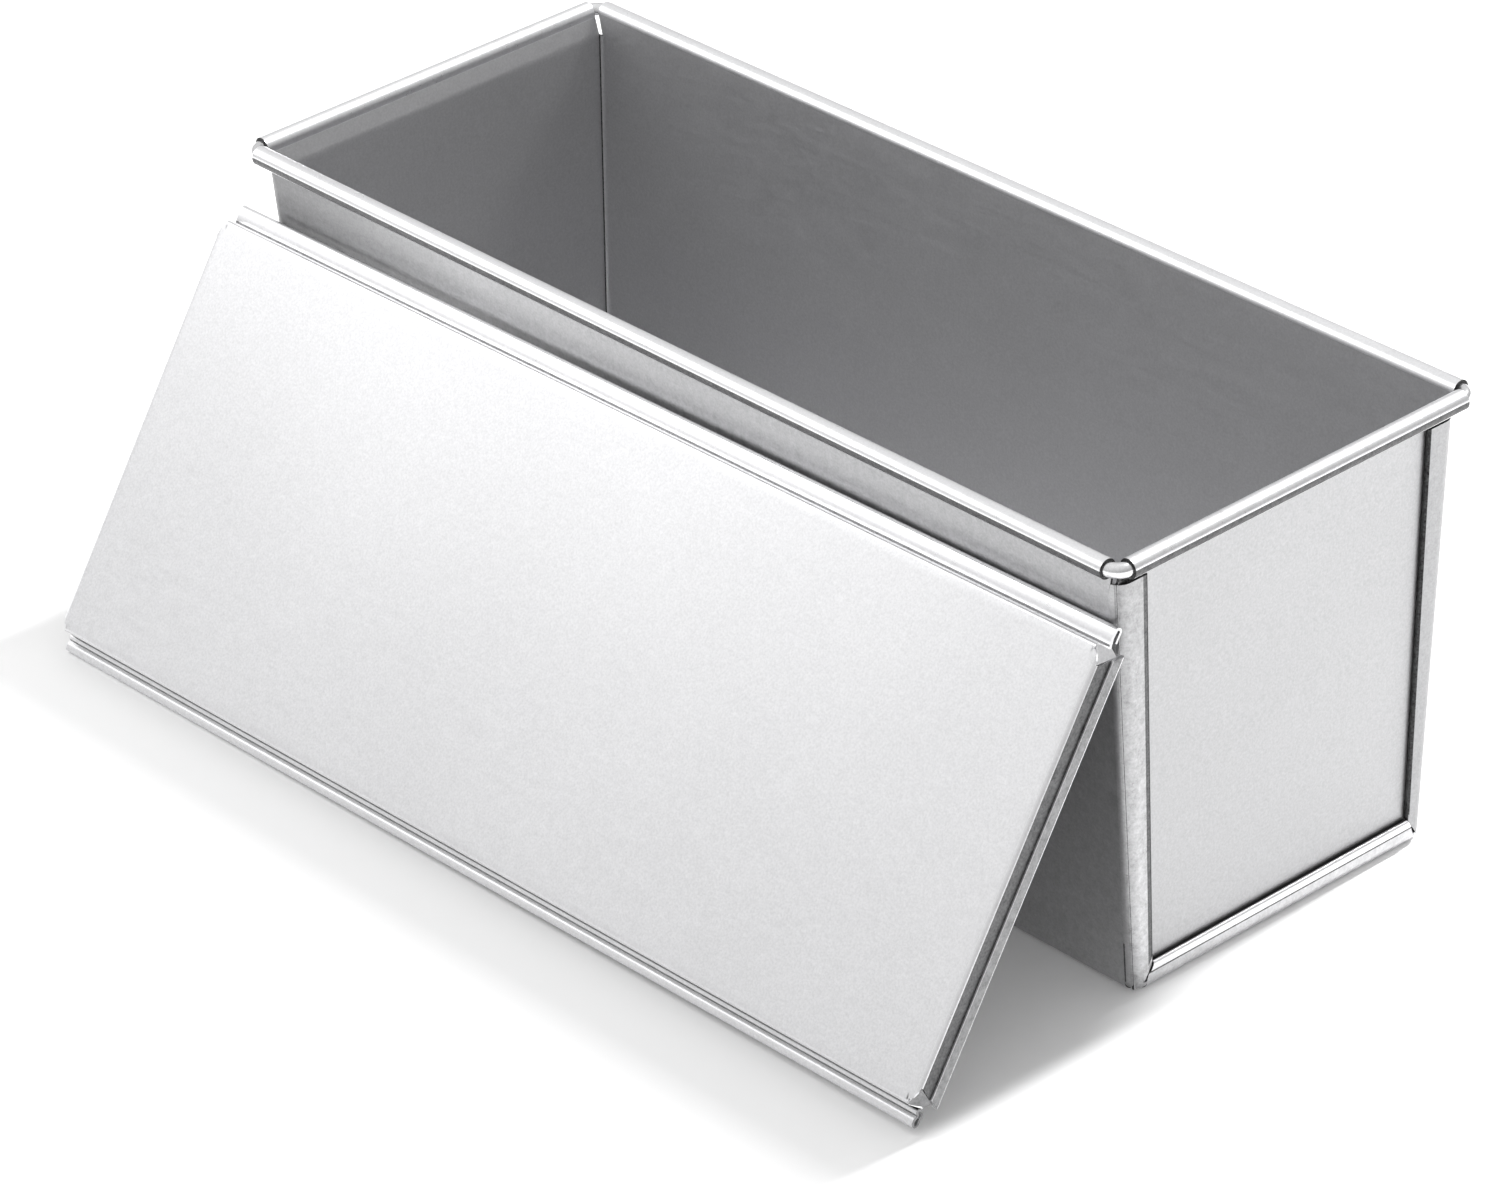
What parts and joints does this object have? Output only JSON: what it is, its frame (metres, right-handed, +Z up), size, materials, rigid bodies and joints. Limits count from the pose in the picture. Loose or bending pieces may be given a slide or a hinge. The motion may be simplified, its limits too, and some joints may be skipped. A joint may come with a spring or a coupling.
{
  "type": "pullman loaf pan with lid",
  "caption": "Deep rectangular sheet steel loaf pan with a wired, rolled rim and seamed ends, and a loose flat lid with rolled edges and end flanges leaning on its side.",
  "frame": {"origin": "middle of the pan's base, on the surface it stands on", "axes": "+X along the pan's length, +Y across it away from the leaning lid, +Z up"},
  "size_m": [0.3411, 0.2005, 0.1307],
  "materials": {
    "pan_sheet": "satin aluminised steel",
    "lid_sheet": "satin aluminised steel",
    "rim_wire": "bright drawn steel wire"
  },
  "bodies": {
    "pan": {"pan_trough": "pan_sheet", "end_panel_left": "pan_sheet", "end_panel_right": "pan_sheet", "rim_wire": "rim_wire"},
    "lid": {"lid": "lid_sheet"}
  },
  "joints": [
    {"name": "lid_tip", "type": "hinge", "parent": "pan", "child": "lid", "pos_m": [-0.00301, -0.13326, 0.00489], "axis": [1, 0.0044, 0.0065], "range_deg": [0, 124]}
  ]
}
